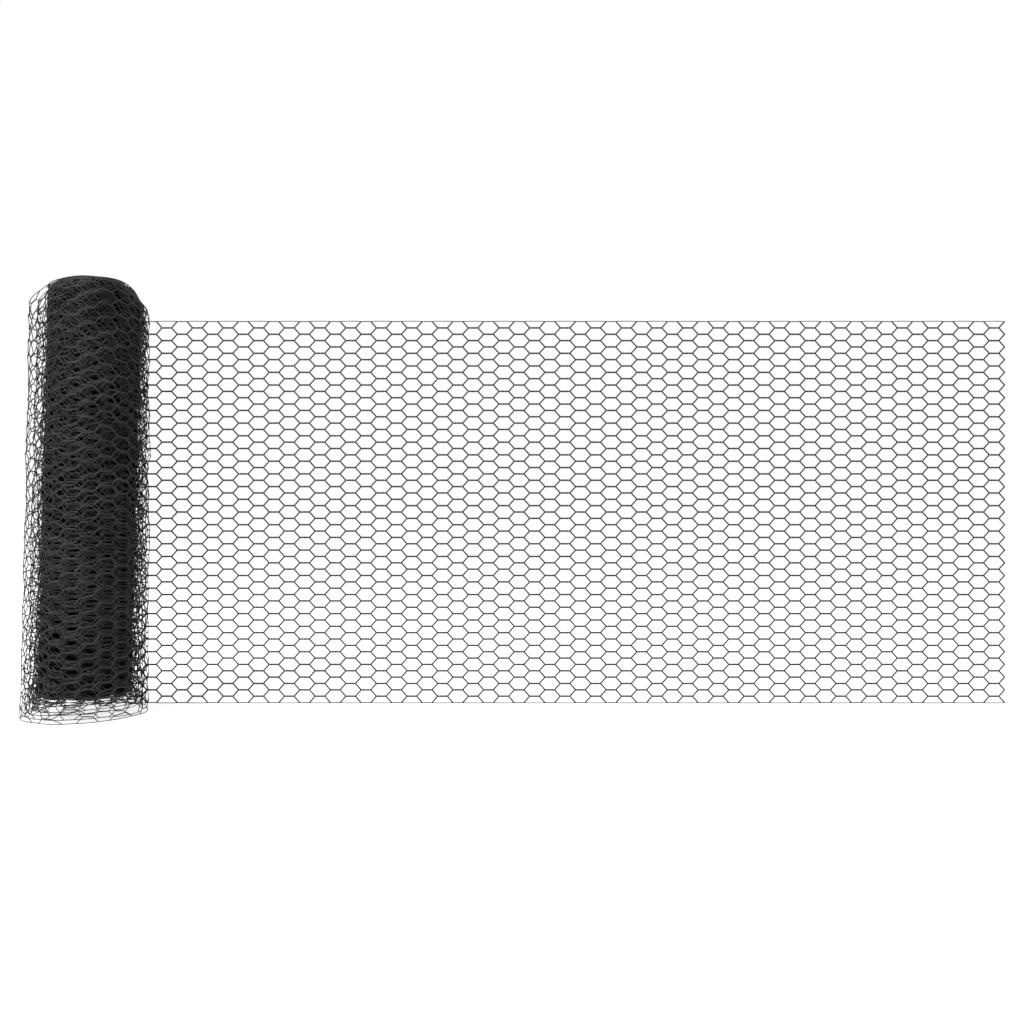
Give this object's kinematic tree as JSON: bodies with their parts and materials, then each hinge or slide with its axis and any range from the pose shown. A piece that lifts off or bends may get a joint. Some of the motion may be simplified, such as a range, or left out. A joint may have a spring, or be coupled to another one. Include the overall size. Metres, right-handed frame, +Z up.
{
  "type": "roll of chicken wire",
  "caption": "Roll of black coated hexagonal wire netting standing on its end, with a straight length drawn out from the back of the roll.",
  "frame": {"origin": "on the floor, below the middle of the overall box", "axes": "+X from the roll to the free end of the netting, +Z up along the roll's bore"},
  "size_m": [0.9962, 0.1226, 0.4271],
  "materials": {
    "black_coating": "semi-matt black plastic coating on galvanised steel wire"
  },
  "bodies": {
    "root": {"wound_roll": "black_coating", "drawn_run_1": "black_coating", "drawn_run_2": "black_coating", "drawn_run_3": "black_coating", "drawn_run_4": "black_coating", "drawn_run_5": "black_coating", "drawn_run_6": "black_coating", "drawn_run_7": "black_coating", "drawn_run_8": "black_coating", "drawn_run_9": "black_coating", "drawn_run_10": "black_coating"}
  },
  "joints": []
}
